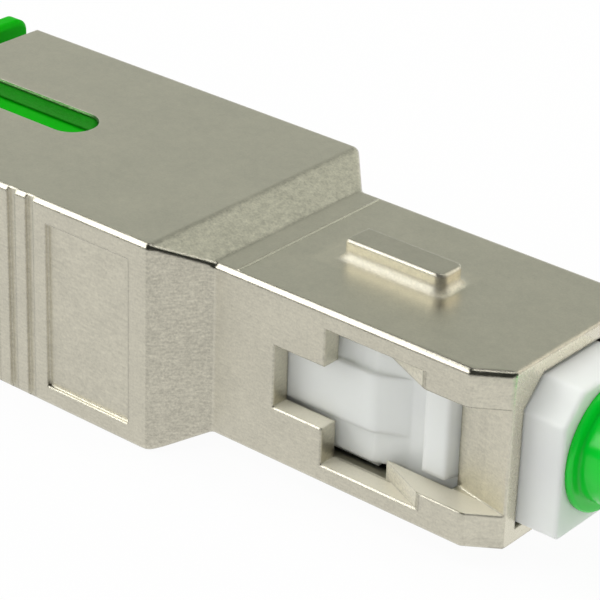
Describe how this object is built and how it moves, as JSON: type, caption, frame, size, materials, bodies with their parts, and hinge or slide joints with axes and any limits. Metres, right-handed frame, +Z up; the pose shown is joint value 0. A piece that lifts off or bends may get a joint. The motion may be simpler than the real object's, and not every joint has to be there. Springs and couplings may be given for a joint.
{
  "type": "fibre optic attenuator",
  "caption": "Plug-and-socket fibre optic attenuator with a square metal shell, floating white plug frame, sprung angled ferrule and green dust caps.",
  "frame": {"origin": "middle of the flat underside of the socket housing", "axes": "+X along the optical axis towards the plug end, +Z up towards the key, +Y across the shell"},
  "size_m": [0.0464, 0.0142, 0.009],
  "materials": {
    "shell_nickel": "satin nickel plate on a zinc casting",
    "white_plastic": "smooth moulded",
    "brass_nickel": "turned, nickel plated",
    "zirconia": "ground zirconia",
    "silica": "polished",
    "spring_steel": "drawn wire",
    "green_plastic": "soft moulded"
  },
  "bodies": {
    "shell": {"shell": "shell_nickel"},
    "core": {"plug_frame": "white_plastic", "latch_body": "white_plastic", "sleeve_holder": "white_plastic", "stop_ring": "brass_nickel", "alignment_sleeve": "zirconia"},
    "ferrule": {"ferrule": "zirconia", "attenuating_fibre": "silica", "ferrule_flange": "brass_nickel", "spring": "spring_steel"},
    "ferrule_cap": {"ferrule_cap": "green_plastic"},
    "socket_cap": {"socket_cap": "green_plastic"}
  },
  "joints": [
    {"name": "core_slide", "type": "slide", "parent": "shell", "child": "core", "axis": [1, 0, 0], "range_m": [-0.0016, 0]},
    {"name": "ferrule_float", "type": "slide", "parent": "core", "child": "ferrule", "axis": [1, 0, 0], "range_m": [-0.0008, 0], "stiffness_N_per_m": 1000, "deforming": ["spring"]},
    {"name": "ferrule_cap_pull", "type": "slide", "parent": "core", "child": "ferrule_cap", "axis": [1, 0, 0], "range_m": [0, 0.014]},
    {"name": "socket_cap_pull", "type": "slide", "parent": "shell", "child": "socket_cap", "axis": [-1, 0, 0], "range_m": [0, 0.0145]}
  ]
}
